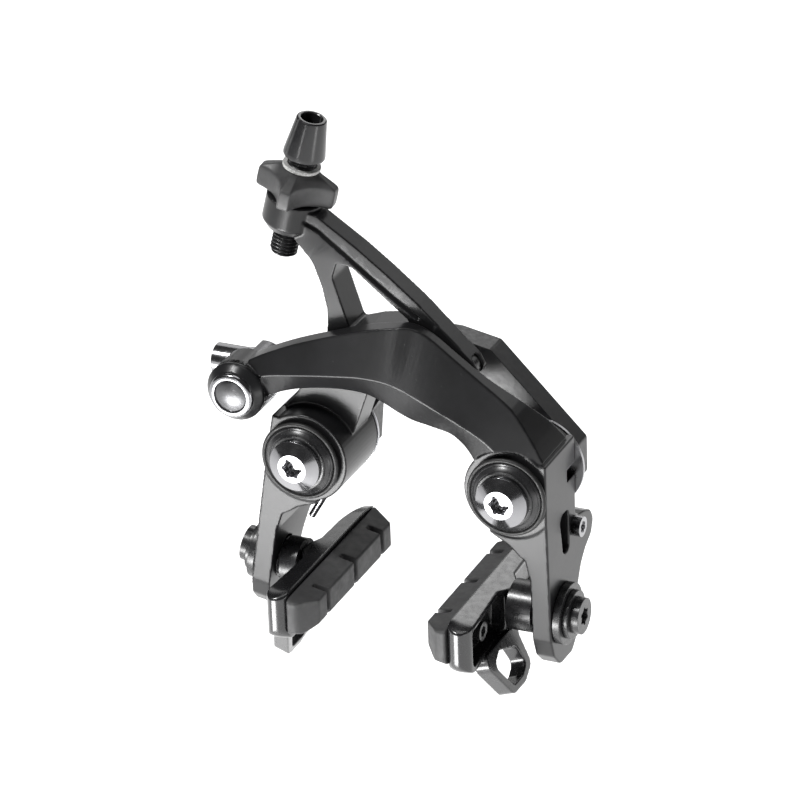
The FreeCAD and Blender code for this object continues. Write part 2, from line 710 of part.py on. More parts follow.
def star_knob():
    """A four-lobed knob: flat tips joined by hollow arcs, on the barrel's axis."""
    reach = size("knob_reach")
    half = KNOB_HOLLOW * math.sqrt(0.5)
    body = new_body("star_body", on_adjuster(-8.2), ADJUSTER_TURN)
    profile = sketch_on(body, "star_profile", "XY_Plane", "0")
    for quarter in range(4):
        start, end = star_point(reach, -KNOB_TIP, quarter), star_point(reach, KNOB_TIP, quarter)
        following = star_point(reach, -KNOB_TIP, quarter + 1)
        profile.addGeometry(Part.LineSegment(start, end), False)
        profile.addGeometry(Part.Arc(end, star_point(half, half, quarter), following), False)
    pad = body.newObject("PartDesign::Pad", "star_pad")
    pad.Profile = profile
    bind(pad, Length="knob_height")
    way = sketch_on(body, "star_way_profile", "XY_Plane", "0")
    way.addGeometry(Part.Circle(Vector(), Vector(0, 0, 1), size("barrel_radius") + size("run_gap")), False)
    through_pocket(body, "star_way", way)
    publish("star_knob", body)


# ---------------------------------------------------------------- cable anchor
def cable_anchor():
    x, z = EYE
    y_cap = size("cap_front")
    flange = round_bar("anchor_flange", "cap_radius", "eye_front - cap_front", (x, y_cap, z))
    sleeve = round_bar("anchor_sleeve", "eye_bore", "eye_back - eye_front", (x, size("eye_front"), z))
    bore = round_bar("anchor_bore", "anchor_pin_radius + run_gap", "eye_back - cap_front", (x, y_cap, z))
    publish("anchor_bush", cut("anchor_bush_cut", fuse("anchor_bush_blank", [flange, sleeve]), [bore]))
    pin = round_bar("anchor_pin", "anchor_pin_radius", "eye_back - cap_front + 0.8", (x, y_cap - 0.5, z))
    body = round_bar("anchor_block", "anchor_block_radius", "anchor_back - eye_back - 0.3",
                     (x, size("eye_back") + 0.3, z))
    flat = block("anchor_flat", (x - 11.0, size("eye_back") + 0.3, z - 10), (10, 12, 20))
    screw_z = z + 0.8
    depth = size("clamp_depth")
    way = round_bar("clamp_way", "pad_bolt_radius + run_gap", "12", (x - 2.0, depth, screw_z), ALONG_X)
    publish("anchor_trunnion", cut("anchor_cut", fuse("anchor_blank", [pin, body]), [flat, way]))
    washer = tube("clamp_washer_tube", "4.3", "pad_bolt_radius + 0.1", "1.8",
                  (x - 2.95, depth, screw_z), ALONG_X)
    publish("clamp_washer", washer)
    head = round_bar("clamp_head", "clamp_screw_radius", "9.0", (x - 12.0, depth, screw_z), ALONG_X)
    shaft = round_bar("clamp_shaft", "pad_bolt_radius", "10.5", (x - 4.0, depth, screw_z), ALONG_X)
    socket = torx_cutter("clamp_socket", "2.5", "3.0", (x - 12.0, depth, screw_z), ALONG_X)
    publish("clamp_screw", cut("clamp_screw_cut", fuse("clamp_blank", [head, shaft]), [socket]))


# ---------------------------------------------------------------- brake pads
FRICTION_FACE = {"left": -19.2, "right": 10.4}
RUBBER_HEIGHTS = (-42.4, -31.2)
HOLDER_HEIGHTS = (-44.0, -30.0)


def mirrored(points, face, sign):
    """Points as distance from the friction face and depth, turned into X and Y."""
    return [(face + sign * point[0], point[1]) + tuple(point[2:]) for point in points]


def brake_pad(side, sign):
    """The rubber: blunt noses in plan, top and bottom sloping towards the rim, three grooves."""
    face = FRICTION_FACE[side]
    front = size("pad_centre") - size("pad_length") / 2
    back = front + size("pad_length")
    thick = size("rubber_depth")
    low, top = RUBBER_HEIGHTS
    plan = [(thick, front, 0.6), (4.4, front, 2.5), (0.0, front + 5.0, 1.0), (0.0, back - 5.0, 1.0),
            (thick, back, 0.5)]
    section = [(thick, low, 0.3), (3.4, low + 0.8, 1.5), (0.0, low + 3.2, 1.0), (0.0, top - 1.4, 0.6),
               (thick, top, 0.3)]
    bar = prism(side + "_rubber", "XY_Plane", mirrored(plan, face, sign), str(low), str(top))
    for index in (-1, 0, 1):
        middle = size("pad_centre") + index * size("groove_spacing")
        depth = size("groove_depth")
        groove = [(-1.0, middle - 0.9), (depth, middle - 0.9), (depth, middle + 0.9), (-1.0, middle + 0.9)]
        pocket_outline(bar, "%s_groove_%d" % (side, index + 1), "XY_Plane", mirrored(groove, face, sign))
    sides = prism(side + "_rubber_section", "XZ_Plane", mirrored(section, face, sign),
                  str(front - 1), str(back + 1))
    publish(side + "_brake_pad", common(side + "_rubber_shape", bar, sides))


def bolt_along(side, sign, outward):
    """A point on the pad bolt's axis, measured outwards from the outside of the leg."""
    return in_leg(side, sign, size("leg_outer") + outward, size("pad_centre"), size("pad_axis"))


LOOP_FLARE = 19.8      # degrees by which the guide loop leans out, away from the rim
LOOP = [(-34.5, 1.0, 1), (-35.6, -2.6, 3), (-28.8, -13.2, 3), (-21.4, -13.4, 3), (-15.4, -11.0, 2.5),
        (-16.4, -2.0, 3), (-14.4, 1.0, 1)]
LOOP_HOLE = [(-28.0, -0.9, 1.5), (-32.6, -3.0, 2), (-27.4, -11.2, 2), (-21.8, -11.2, 2),
             (-18.0, -9.4, 2), (-20.0, -4.0, 2)]


def pad_holder(side, sign):
    """The holder: a nosed bar, open recesses outside, a post for the bolt, a guide loop below."""
    face = FRICTION_FACE[side]
    middle = size("pad_centre")
    front = middle - size("pad_length") / 2
    back = front + size("pad_length")
    near = size("rubber_depth") + 0.05
    post = near + size("holder_depth")
    floor = size("recess_floor")
    plan = [(near, front - 0.6, 1.0), (near + 6.0, front - 0.5, 3.4), (13.3, front + 4.4, 4.0),
            (12.0, middle - 5.4, 1.5), (post, middle - 2.0, 0.6), (post, middle + 2.4, 0.6),
            (12.2, middle + 5.6, 1.5), (11.8, back - 11.0, 5.0), (9.8, back + 0.4, 2.5), (near, back + 0.6, 1.0)]
    shell = prism(side + "_holder_shell", "XY_Plane", mirrored(plan, face, sign),
                  str(HOLDER_HEIGHTS[0]), str(HOLDER_HEIGHTS[1]))
    recesses = []
    for name, start, end in (("front", front + 2.6, middle - 3.6), ("rear", middle + 3.6, back - 3.0)):
        corners = [(start, -31.6), (end, -31.6), (end, -42.4), (start, -42.4)]
        depths = sorted((face + sign * floor, face + sign * 17.0))
        recesses.append(prism("%s_%s_recess" % (side, name), "YZ_Plane", corners,
                              str(round(depths[0], 3)), str(round(depths[1], 3)), 1.6))
    hinge = (face + sign * (near + 5.2), 0, HOLDER_HEIGHTS[0])
    loop = prism(side + "_guide_loop", "YZ_Plane", LOOP, "-2.2", "2.2", 0.0, hinge,
                 Rotation(ABOUT_Y, -sign * LOOP_FLARE))
    pocket_outline(loop, side + "_guide_hole", "YZ_Plane", LOOP_HOLE)
    outward = outward_turn(side, sign)
    bolt_way = round_bar(side + "_holder_bolt_way", "pad_bolt_radius + run_gap", "24",
                         bolt_along(side, sign, -24.0), outward)
    screw_way = round_bar(side + "_screw_way", "1.5", "4", pad_screw_spot(side, sign, 7.1, 4), ALONG_X)
    body = cut(side + "_holder_open", shell, recesses)
    blank = fuse(side + "_holder_blank", [body, loop])
    publish(side + "_pad_holder", cut(side + "_holder", blank, [bolt_way, screw_way]))
    shaft = round_bar(side + "_pad_screw_shaft", "1.5", "2.2", pad_screw_spot(side, sign, 7.1, 2.2), ALONG_X)
    head = round_bar(side + "_pad_screw_head", "2.5", "2.4", pad_screw_spot(side, sign, floor + 0.05, 2.4), ALONG_X)
    socket = torx_cutter(side + "_pad_screw_socket", "1.5", "1.4",
                         pad_screw_spot(side, sign, floor + 1.15, 1.4), ALONG_X)
    screw = fuse(side + "_pad_screw_blank", [shaft, head])
    publish(side + "_pad_screw", cut(side + "_pad_screw_cut", screw, [socket]))


def pad_screw_spot(side, sign, inner, length):
    """Where a piece of the pad screw starts along X, given its distance from the friction face."""
    ends = (FRICTION_FACE[side] + sign * inner, FRICTION_FACE[side] + sign * (inner + length))
    return (min(ends), size("pad_centre") - 14.0, -37.6)


def pad_hardware(side, sign):
    outward = outward_turn(side, sign)
    centre = bolt_along(side, sign, -1.0)
    inner_face = bolt_along(side, sign, -size("leg_thickness"))
    holder_back = FRICTION_FACE[side] + sign * (size("rubber_depth") + size("holder_depth") + 0.1)
    ring_length = abs(inner_face[0] - holder_back) - 1.4
    slope = math.tan(math.radians(lean(side)))
    axis_height = inner_face[2] - slope * abs(inner_face[0] - holder_back)
    start = (min(holder_back, holder_back + sign * ring_length), centre[1], axis_height)
    ring = round_bar(side + "_seat_ring", "6.5", str(round(ring_length, 3)), start, ALONG_X)
    hollow = place(doc.addObject("Part::Sphere", side + "_seat_hollow"), centre, Rotation())
    bind(hollow, Radius="ball_radius + 0.1")
    clear = round_bar(side + "_seat_clear", "3.3", "30", bolt_along(side, sign, -24.0), outward)
    publish(side + "_seat_washer", cut(side + "_seat", ring, [hollow, clear]))
    disc = round_bar(side + "_ball_disc", "5.6", "6.0", bolt_along(side, sign, -11.25), outward)
    dome = place(doc.addObject("Part::Sphere", side + "_ball_dome"), centre, Rotation())
    bind(dome, Radius="ball_radius")
    cap = common(side + "_ball_cap", disc, dome)
    way = round_bar(side + "_ball_way", "pad_bolt_radius + 0.1", "12", bolt_along(side, sign, -14.0), outward)
    publish(side + "_ball_washer", cut(side + "_ball", cap, [way]))
    outer = tube(side + "_outer_washer_ring", "8.0", "pad_bolt_radius + 0.1", "2.0",
                 bolt_along(side, sign, 0.1), outward)
    publish(side + "_outer_washer", outer)
    small = tube(side + "_head_washer_ring", "6.3", "pad_bolt_radius + 0.1", "1.4",
                 bolt_along(side, sign, 2.12), outward)
    publish(side + "_head_washer", small)
    head = round_bar(side + "_pad_bolt_head", "4.7", "2.2", bolt_along(side, sign, 3.54), outward)
    outer_face = bolt_along(side, sign, 0.0)
    tip = FRICTION_FACE[side] + sign * (size("rubber_depth") + 1.3)
    reach = abs(outer_face[0] - tip) / math.cos(math.radians(lean(side)))
    shaft = round_bar(side + "_pad_bolt_shaft", "pad_bolt_radius", str(round(reach + 4.0, 3)),
                      bolt_along(side, sign, -reach), outward)
    socket = torx_cutter(side + "_pad_socket", "2.4", "1.7", bolt_along(side, sign, 4.04), outward)
    bolt = fuse(side + "_pad_bolt_blank", [head, shaft])
    publish(side + "_pad_bolt", cut(side + "_pad_bolt_cut", bolt, [socket]))


# ---------------------------------------------------------------- assemble, check and write
right_arm()
cam_plate()
left_arm()
cam_roller()
adjuster()
star_knob()
cable_anchor()
for side, sign in SIDES:
    return_spring(side, sign)
    tension_screw(side, sign)
    brake_pad(side, sign)
    pad_holder(side, sign)
    pad_hardware(side, sign)

doc.recompute()
faults = [item.Name for item in doc.Objects if {"Invalid", "Error"} & set(item.State)]
for node in NODES:
    shape = node.Shape
    if shape.isNull() or not shape.isValid() or not shape.Solids:
        faults.append(node.Label)
if faults:
    raise RuntimeError("these objects failed: " + ", ".join(faults))

os.makedirs("parts", exist_ok=True)
for node in NODES:
    box = node.Shape.BoundBox
    print("%-22s solids %d volume %9.1f box %6.1f %6.1f %6.1f  %6.1f %6.1f %6.1f" % (
        node.Label, len(node.Shape.Solids), node.Shape.Volume,
        box.XMin, box.YMin, box.ZMin, box.XMax, box.YMax, box.ZMax))
    node.Shape.exportStep("parts/%s.step" % node.Label)
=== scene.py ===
import json
import math

import bmesh
import bpy
import numpy as np
from mathutils import Matrix, Vector


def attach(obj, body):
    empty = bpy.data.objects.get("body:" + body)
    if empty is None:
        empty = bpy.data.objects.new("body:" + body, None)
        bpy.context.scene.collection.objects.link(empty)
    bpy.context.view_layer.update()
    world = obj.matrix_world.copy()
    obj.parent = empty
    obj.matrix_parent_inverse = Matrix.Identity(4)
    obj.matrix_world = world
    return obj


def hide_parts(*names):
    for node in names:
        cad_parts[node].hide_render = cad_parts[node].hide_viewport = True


# Looks for the direct-mount rim brake caliper, in metres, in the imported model's own frame.
# Lengths written with MM are millimetres: +X right, +Y back to the frame, +Z up.

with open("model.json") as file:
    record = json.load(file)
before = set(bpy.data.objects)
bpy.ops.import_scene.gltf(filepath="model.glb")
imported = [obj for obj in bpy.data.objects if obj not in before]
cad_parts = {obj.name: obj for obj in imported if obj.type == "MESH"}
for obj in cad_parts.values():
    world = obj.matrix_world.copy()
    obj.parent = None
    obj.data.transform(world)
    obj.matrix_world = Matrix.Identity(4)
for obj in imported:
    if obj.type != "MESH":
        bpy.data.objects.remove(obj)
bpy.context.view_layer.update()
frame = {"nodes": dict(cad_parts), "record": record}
NODES = frame["nodes"]
BODY_OF = {node: body for body, nodes in frame["record"]["behaviour"]["bodies"].items() for node in nodes}
SLOT_OF = {row["node"]: row["material_slot"] for row in frame["record"]["subparts"]}
MM = 0.001
PIVOT = 28.0                 # each mounting bolt is this far from the middle
WELD = 0.002                 # points closer than this are one point


# ---------------------------------------------------------------- materials
def ramp(tree, source, low, high, from_low=0.35, from_high=0.65):
    """Noise or another factor stretched to a range of values."""
    node = tree.nodes.new("ShaderNodeMapRange")
    node.inputs["From Min"].default_value = from_low
    node.inputs["From Max"].default_value = from_high
    node.inputs["To Min"].default_value = low
    node.inputs["To Max"].default_value = high
    tree.links.new(source, node.inputs["Value"])
    return node.outputs["Result"]


def noise(tree, coords, scale, detail=3.0, roughness=0.55, stretch=None):
    node = tree.nodes.new("ShaderNodeTexNoise")
    node.inputs["Scale"].default_value = scale
    node.inputs["Detail"].default_value = detail
    node.inputs["Roughness"].default_value = roughness
    if stretch:
        mapping = tree.nodes.new("ShaderNodeMapping")
        mapping.inputs["Scale"].default_value = stretch
        tree.links.new(coords, mapping.inputs["Vector"])
        coords = mapping.outputs["Vector"]
    tree.links.new(coords, node.inputs["Vector"])
    return node.outputs["Fac"]


def mix(tree, factor, first, second):
    node = tree.nodes.new("ShaderNodeMix")
    node.data_type = "RGBA"
    tree.links.new(factor, node.inputs["Factor"])
    for socket, value in ((node.inputs["A"], first), (node.inputs["B"], second)):
        if isinstance(value, bpy.types.NodeSocket):
            tree.links.new(value, socket)
        else:
            socket.default_value = (*value, 1.0)
    return node.outputs["Result"]


def finish(name, colour, tone, roughness, metallic=0.0, grain=1500.0, bump=0.02, wear_and_edge_highlight=None,
           edge_wear_and_highlight_range=(0.60, 0.72), specular=0.5, coat=0.0, stretch=None, blotch=70.0):
    """A finish with two tones of colour, uneven gloss, fine grain in the surface, and edges lightened by
    pointiness: partly real wear, partly a painted edge highlight.
    """
    material = bpy.data.materials.new(name)
    material.use_nodes = True
    tree = material.node_tree
    shader = tree.nodes["Principled BSDF"]
    coords = tree.nodes.new("ShaderNodeTexCoord").outputs["Object"]
    shader.inputs["Metallic"].default_value = metallic
    shader.inputs["Specular IOR Level"].default_value = specular
    shader.inputs["Coat Weight"].default_value = coat
    shader.inputs["Coat Roughness"].default_value = 0.12
    broad = noise(tree, coords, blotch, 4.0)
    fine = noise(tree, coords, grain, 2.0, stretch=stretch)
    shade = mix(tree, ramp(tree, broad, 0.0, 1.0), colour, tone)
    # Convex edges are lightened by pointiness and broken up by noise: partly real edge wear, partly a
    # painted highlight standing in for bright edge reflections.
    if wear_and_edge_highlight:
        pointed = tree.nodes.new("ShaderNodeNewGeometry").outputs["Pointiness"]
        worn_and_highlit = ramp(tree, pointed, 0.0, 0.8, *edge_wear_and_highlight_range)
        scuff_and_highlight = tree.nodes.new("ShaderNodeMath")
        scuff_and_highlight.operation = "MULTIPLY"
        tree.links.new(worn_and_highlit, scuff_and_highlight.inputs[0])
        tree.links.new(ramp(tree, noise(tree, coords, 400.0, 3.0), 0.35, 1.0), scuff_and_highlight.inputs[1])
        shade = mix(tree, scuff_and_highlight.outputs["Value"], shade, wear_and_edge_highlight)
    tree.links.new(shade, shader.inputs["Base Color"])
    gloss = noise(tree, coords, grain * 0.35, 3.0, stretch=stretch)
    tree.links.new(ramp(tree, gloss, roughness[0], roughness[1]), shader.inputs["Roughness"])
    relief = tree.nodes.new("ShaderNodeBump")
    relief.inputs["Strength"].default_value = min(1.0, bump * 10)
    relief.inputs["Distance"].default_value = 0.1 * MM * bump * 10
    tree.links.new(fine, relief.inputs["Height"])
    tree.links.new(relief.outputs["Normal"], shader.inputs["Normal"])
    return material


# The third colour of a finish is painted onto its convex edges: partly edge wear, partly a painted edge
# highlight.
FINISHES = {
    "anodised_black": finish("anodised_black", (0.010, 0.010, 0.0105), (0.015, 0.015, 0.016), (0.275, 0.295),
                             grain=2600.0, bump=0.002, wear_and_edge_highlight=(0.10, 0.10, 0.105), specular=0.38),
    "bridge_black": finish("bridge_black", (0.010, 0.010, 0.011), (0.015, 0.015, 0.016), (0.33, 0.42),
                           grain=2600.0, bump=0.015, wear_and_edge_highlight=(0.08, 0.08, 0.085), specular=0.5),
    "polished_steel": finish("polished_steel", (0.36, 0.36, 0.37), (0.30, 0.30, 0.31), (0.14, 0.21),
                             metallic=1.0, grain=1800.0, bump=0.006),
    "brushed_steel": finish("brushed_steel", (0.54, 0.54, 0.56), (0.44, 0.44, 0.45), (0.26, 0.38),
                            metallic=1.0, grain=1400.0, bump=0.02, stretch=(1.0, 9.0, 1.0)),
    "black_steel": finish("black_steel", (0.012, 0.012, 0.013), (0.019, 0.019, 0.020), (0.24, 0.34),
                          grain=2200.0, bump=0.02, wear_and_edge_highlight=(0.12, 0.12, 0.125), specular=0.7),
    "dull_steel": finish("dull_steel", (0.16, 0.16, 0.165), (0.12, 0.12, 0.123), (0.26, 0.36),
                         metallic=1.0, grain=1400.0, bump=0.012, stretch=(1.0, 9.0, 1.0)),
    "spring_steel": finish("spring_steel", (0.36, 0.36, 0.37), (0.26, 0.26, 0.27), (0.25, 0.35),
                           metallic=1.0, grain=1500.0, bump=0.015),
    "pad_rubber": finish("pad_rubber", (0.046, 0.046, 0.047), (0.062, 0.062, 0.063), (0.50, 0.62),
                         grain=1700.0, bump=0.06, specular=0.4, blotch=160.0),
    "seal_rubber": finish("seal_rubber", (0.012, 0.012, 0.012), (0.018, 0.018, 0.018), (0.40, 0.55),
                          grain=1700.0, bump=0.03, specular=0.45),
    "holder_black": finish("holder_black", (0.008, 0.008, 0.009), (0.013, 0.013, 0.014), (0.20, 0.29),
                           grain=1500.0, bump=0.012, wear_and_edge_highlight=(0.07, 0.07, 0.07), specular=0.7, coat=0.3),
    "knob_plastic": finish("knob_plastic", (0.042, 0.042, 0.043), (0.058, 0.058, 0.059), (0.36, 0.46),
                           grain=2600.0, bump=0.03, specular=0.5, blotch=220.0),
    "ring_plastic": finish("ring_plastic", (0.66, 0.66, 0.65), (0.30, 0.30, 0.29), (0.45, 0.6),
                           grain=2000.0, bump=0.05, blotch=2200.0),
    "cone_black": finish("cone_black", (0.010, 0.010, 0.011), (0.015, 0.015, 0.016), (0.20, 0.26),
                         grain=2600.0, bump=0.002, wear_and_edge_highlight=(0.09, 0.09, 0.09), specular=0.7),
}


# ---------------------------------------------------------------- pieces
def give(obj, node, look=None):
    """Let a finished piece stand for its CAD node, ride on its body and take its finish."""
    slot = SLOT_OF[node]
    obj.data.materials.clear()
    obj.data.materials.append(FINISHES[look or slot])
    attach(obj, BODY_OF[node])
    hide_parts(node)
    return obj


def new_object(name, mesh):
    obj = bpy.data.objects.new(name, mesh)
    bpy.context.scene.collection.objects.link(obj)
    return obj


def from_points(name, points, faces):
    """A mesh from points in millimetres."""
    mesh = bpy.data.meshes.new(name)
    mesh.from_pydata([(x * MM, y * MM, z * MM) for x, y, z in points], [], faces)
    mesh.validate()
    mesh.update()
    return mesh


def smooth(mesh, degrees):
    mesh.shade_smooth()
    mesh.set_sharp_from_angle(angle=math.radians(degrees))


def clean_copy(node):
    """The CAD node's shape with its doubled points joined and its flat faces whole."""
    mesh = bpy.data.meshes.new(node + "_fine")
    work = bmesh.new()
    work.from_mesh(NODES[node].data)
    bmesh.ops.remove_doubles(work, verts=work.verts, dist=WELD * MM)
    bmesh.ops.dissolve_limit(work, angle_limit=math.radians(0.6), verts=work.verts, edges=work.edges)
    bmesh.ops.recalc_face_normals(work, faces=work.faces)
    work.to_mesh(mesh)
    work.free()
    mesh.materials.clear()
    return new_object(node + "_fine", mesh)


def eased(node, width=0.25, segments=2, angle=28.0):
    """A CAD node's shape with its edges really rounded over."""
    obj = clean_copy(node)
    smooth(obj.data, 30)
    bevel = obj.modifiers.new("ease", "BEVEL")
    bevel.width = width * MM
    bevel.segments = segments
    bevel.limit_method = "ANGLE"
    bevel.angle_limit = math.radians(angle)
    bevel.use_clamp_overlap = True
    weighted = obj.modifiers.new("shade", "WEIGHTED_NORMAL")
    weighted.keep_sharp = False
    return give(obj, node)


def applied(obj):
    """The object's mesh with its modifiers worked in."""
    bpy.context.view_layer.update()
    shape = obj.evaluated_get(bpy.context.evaluated_depsgraph_get())
    mesh = bpy.data.meshes.new_from_object(shape)
    obj.modifiers.clear()
    old = obj.data
    obj.data = mesh
    bpy.data.meshes.remove(old)
    return obj


def points_of(mesh):
    points = np.empty(len(mesh.vertices) * 3)
    mesh.vertices.foreach_get("co", points)
    return points.reshape(-1, 3) / MM


def set_points(mesh, points):
    mesh.vertices.foreach_set("co", (points * MM).ravel())
    mesh.update()


def worked(node, voxel, soften=4, sculpt=None, keep=0.35, look=None):
    """A CAD node's shape as a dense skin, with soft fillets and edges, ready to be cut and shaped."""
    obj = clean_copy(node)
    skin = obj.modifiers.new("skin", "REMESH")
    skin.mode = "VOXEL"
    skin.voxel_size = voxel * MM * 1.0
    relax = obj.modifiers.new("relax", "SMOOTH")
    relax.factor = 0.5
    relax.iterations = soften
    applied(obj)
    if sculpt:
        points = points_of(obj.data)
        sculpt(points)
        set_points(obj.data, points)
    if keep < 1:
        thin = obj.modifiers.new("thin", "DECIMATE")
        thin.ratio = keep
        applied(obj)
    obj.data.shade_smooth()
    return give(obj, node, look)


def axis_frame(origin, axis):
    """A matrix that carries a shape made along Z onto an axis, in millimetres."""
    turn = Vector((0, 0, 1)).rotation_difference(Vector(axis).normalized()).to_matrix().to_4x4()
    return Matrix.Translation(Vector(origin)) @ turn


def ring_faces(rows, around):
    """The four-sided faces between rows of points, the last row joined to the first."""
    faces = []
    for row in range(rows):
        ahead = (row + 1) % rows
        for step in range(around):
            beside = (step + 1) % around
            faces.append((row * around + step, row * around + beside,
                          ahead * around + beside, ahead * around + step))
    return faces


def round_object(name, points, faces, degrees, weld=False):
    """An object from points and faces, its faces turned outwards and its shallow edges smooth."""
    mesh = from_points(name, points, faces)
    work = bmesh.new()
    work.from_mesh(mesh)
    if weld:
        bmesh.ops.remove_doubles(work, verts=work.verts, dist=WELD * MM)
    bmesh.ops.recalc_face_normals(work, faces=work.faces)
    work.to_mesh(mesh)
    work.free()
    smooth(mesh, degrees)
    return new_object(name, mesh)


def on_circle(place, radius, height, angle):
    return place @ Vector((radius * math.cos(angle), radius * math.sin(angle), height))


def lathe(name, profile, origin, axis, around=96):
    """A turned shape: (radius, height) points about an axis, joined end to end."""
    place = axis_frame(origin, axis)
    points = []
    for radius, height in profile:
        for step in range(around):
            points.append(on_circle(place, radius, height, 2 * math.pi * step / around))
    return round_object(name, points, ring_faces(len(profile), around), 28, weld=True)


# ---------------------------------------------------------------- bridge and pivots
eased("rear_bridge", 0.55, 3)
for side, x in (("left", -PIVOT), ("right", PIVOT)):
    eased(side + "_mounting_bolt", 0.16, 2, 20)
    eased(side + "_collar_seal", 0.05, 1)
    eased(side + "_bushing", 0.1, 1)
    eased(side + "_thrust_washer", 0.12, 2)
    eased(side + "_return_spring", 0.02, 1, 60)
    eased(side + "_tension_screw", 0.15, 2)
    # the collar: turned, with fine rings cut in its nose and rim
    give(lathe(side + "_collar_fine", [
        (3.4, -27.1), (9.75, -27.1), (9.9, -27.25), (9.9, -27.65), (9.75, -27.8), (9.3, -27.8),
        (9.3, -29.0), (9.15, -29.25), (8.95, -29.42), (8.80, -29.34), (8.68, -29.48), (8.55, -29.66),
        (7.75, -30.2), (7.62, -30.12), (7.5, -30.3), (7.35, -30.5), (7.2, -30.55), (3.4, -30.55)],
        (x, 0, 0), (0, 1, 0)), side + "_collar")


# ---------------------------------------------------------------- arms
def near_path(points, path):
    """Distance of each point, seen from the front, to a run of straight lines."""
    seen = points[:, [0, 2]]
    best = np.full(len(points), 1e9)
    for start, end in zip(path, path[1:]):
        a, b = np.array(start, float), np.array(end, float)
        run = b - a
        share = np.clip(((seen - a) @ run) / (run @ run), 0, 1)
        best = np.minimum(best, np.linalg.norm(seen - (a + share[:, None] * run), axis=1))
    return best


def bump_curve(distance, width):
    """1 in the middle of a groove, 0 at its sides, rounded between them."""
    return np.where(distance < width, np.cos(np.clip(distance / width, 0, 1) * math.pi / 2) ** 2, 0)


LEFT_GROOVE = [(-27.6, 61.6), (-24.5, 60.2), (-17.9, 55.2), (-6.3, 46.4), (2.0, 40.6)]
LEFT_FRONT = -19.3           # what lies before this is the left arm's front face
GROOVE_DEPTH, GROOVE_WIDTH = 0.9, 0.75


def shape_left_arm(points):
    """The groove below the beam's top strip."""
    front = points[:, 1] < LEFT_FRONT
    depth = GROOVE_DEPTH * bump_curve(near_path(points, LEFT_GROOVE), GROOVE_WIDTH)
    points[:, 1] += np.where(front, depth, 0)


EYE = (-44.4, 17.2)          # the cable anchor's middle, across and up
CAP_RIM = 6.1                # the eye's rim slopes from this radius out


def from_eye(points):
    """Distance of each point from the middle of the cable anchor's eye, seen from the front."""
    return np.hypot(points[:, 0] - EYE[0], points[:, 2] - EYE[1])


def shape_right_arm(points):
    """The eye's rim slopes away all round the anchor's cap."""
    away = from_eye(points)
    rim = (away < 8.6) & (away > CAP_RIM) & (points[:, 1] < -29.5)
    points[:, 1] += np.where(rim, 1.1 * (away - CAP_RIM), 0)


def dome_anchor(points):
    """The anchor's front face is slightly domed."""
    away = from_eye(points)
    face = (away < 4.6) & (points[:, 1] < -32.0)
    points[:, 1] += np.where(face, 0.9 * (away / 4.4) ** 2, 0)


worked("right_arm", 0.24, 4, shape_right_arm, 0.3)
worked("left_arm", 0.24, 4, shape_left_arm, 0.3)
for node in ("cam_plate", "cam_roller", "roller_pin", "clamp_screw", "clamp_washer", "knob_ring"):
    eased(node, 0.15, 2)
worked("anchor_trunnion", 0.16, 2, dome_anchor, 0.5, "dull_steel")
give(lathe("anchor_bush_fine", [
    (4.43, -20.5), (5.0, -20.5), (5.0, -32.0), (5.9, -32.0), (6.0, -32.1), (5.95, -32.5), (5.75, -32.85),
    (5.5, -33.05), (5.2, -33.15), (4.6, -33.2), (4.48, -33.17), (4.43, -33.05)],
    (EYE[0], 0, EYE[1]), (0, 1, 0)), "anchor_bush")


# ---------------------------------------------------------------- cable adjuster
LEAN = math.radians(14.5)
ADJUSTER_AXIS = (math.sin(LEAN), 0, math.cos(LEAN))
ADJUSTER_SEAT = (-30.0, -16.0, 74.8)


def threaded(name, low, high, crest, root, pitch, bore, origin, axis, around=72, rows_per_pitch=10):
    """A tube with a real helical thread outside."""
    place = axis_frame(origin, axis)
    rows = int(round((high - low) / pitch * rows_per_pitch)) + 1
    points = []
    for row in range(rows):
        height = low + (high - low) * row / (rows - 1)
        runout = min(1.0, (height - low) / 0.6 + 0.15, (high - height) / 0.3 + 0.15)
        for step in range(around):
            angle = 2 * math.pi * step / around
            phase = (height / pitch - step / around) % 1.0
            wave = 0.5 + 0.5 * math.cos(2 * math.pi * phase)
            radius = root + (crest - root) * wave ** 0.8 * runout
            points.append(on_circle(place, radius, height, angle))
    for height in (high, low):
        for step in range(around):
            points.append(on_circle(place, bore, height, 2 * math.pi * step / around))
    return round_object(name, points, ring_faces(rows + 2, around), 45)


give(threaded("adjuster_barrel_fine", -24.5, 3.1, 3.49, 2.78, 1.0, 1.1, ADJUSTER_SEAT, ADJUSTER_AXIS),
     "adjuster_barrel")
give(lathe("adjuster_cone_fine", [
    (1.1, 3.1), (4.8, 3.1), (5.12, 3.2), (5.28, 3.5), (5.28, 4.1), (5.2, 4.5), (3.86, 13.2), (3.75, 13.55),
    (3.5, 13.75), (3.2, 13.8), (2.85, 13.75), (2.66, 13.55), (2.6, 13.2), (2.6, 5.8), (1.1, 5.8)],
    ADJUSTER_SEAT, ADJUSTER_AXIS), "adjuster_cone")


KNOB_TURNED = math.radians(5)
HOLLOW_CENTRE = 15.4         # the lobes' sides are arcs about points this far out between them
HOLLOW_RADIUS = 9.2
LOBE_REACH = 10.26           # the lobes' blunt ends are flats this far from the axis
LOBE_SHARPNESS = 14.0        # higher is a sharper corner where a flat meets an arc


def knob_reach(angle):
    """How far the knob's outline is from its axis: blunt lobes joined by hollow arcs."""
    fold = abs((angle + math.pi / 4) % (math.pi / 2) - math.pi / 4)
    tip = LOBE_REACH / math.cos(fold)
    aside = math.pi / 4 - fold
    inside = HOLLOW_RADIUS ** 2 - (HOLLOW_CENTRE * math.sin(aside)) ** 2
    if inside < 0:
        return tip
    arc = HOLLOW_CENTRE * math.cos(aside) - math.sqrt(inside)
    return (tip ** -LOBE_SHARPNESS + arc ** -LOBE_SHARPNESS) ** (-1 / LOBE_SHARPNESS)


